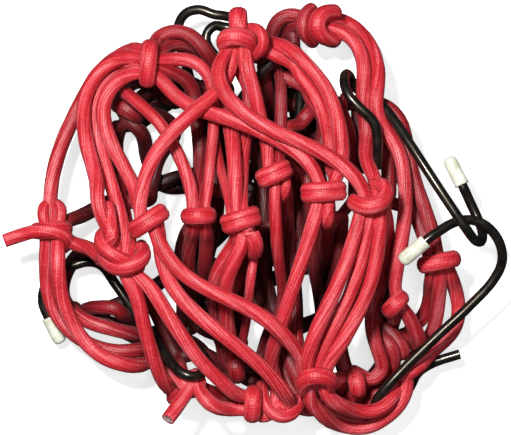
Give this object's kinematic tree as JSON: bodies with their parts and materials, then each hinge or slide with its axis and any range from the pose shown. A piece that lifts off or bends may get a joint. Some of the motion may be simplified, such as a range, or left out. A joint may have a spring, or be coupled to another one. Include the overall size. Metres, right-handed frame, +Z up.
{
  "type": "cargo net",
  "caption": "Loose bundle of knotted elastic cord net with black wire hooks and pale capped tips.",
  "frame": {"origin": "on the floor under the middle of the bundle's outline", "axes": "+Z up, +X to the right and +Y to the top of the bundle as seen from above"},
  "size_m": [0.2022, 0.1728, 0.063],
  "materials": {
    "cord": "woven sheath over elastic, red with fine lengthwise ribs",
    "wire": "glossy black coating on steel wire",
    "sleeve": "off-white moulded cap"
  },
  "bodies": {
    "root": {"net": "cord", "hook_top": "wire", "hook_right": "wire", "hook_lower_right": "wire", "hook_left": "wire", "hook_inner": "wire", "hook_back": "wire", "sleeve_top": "sleeve", "sleeve_right": "sleeve", "sleeve_lower_right": "sleeve", "sleeve_left": "sleeve", "sleeve_inner": "sleeve", "sleeve_back": "sleeve"}
  },
  "joints": []
}
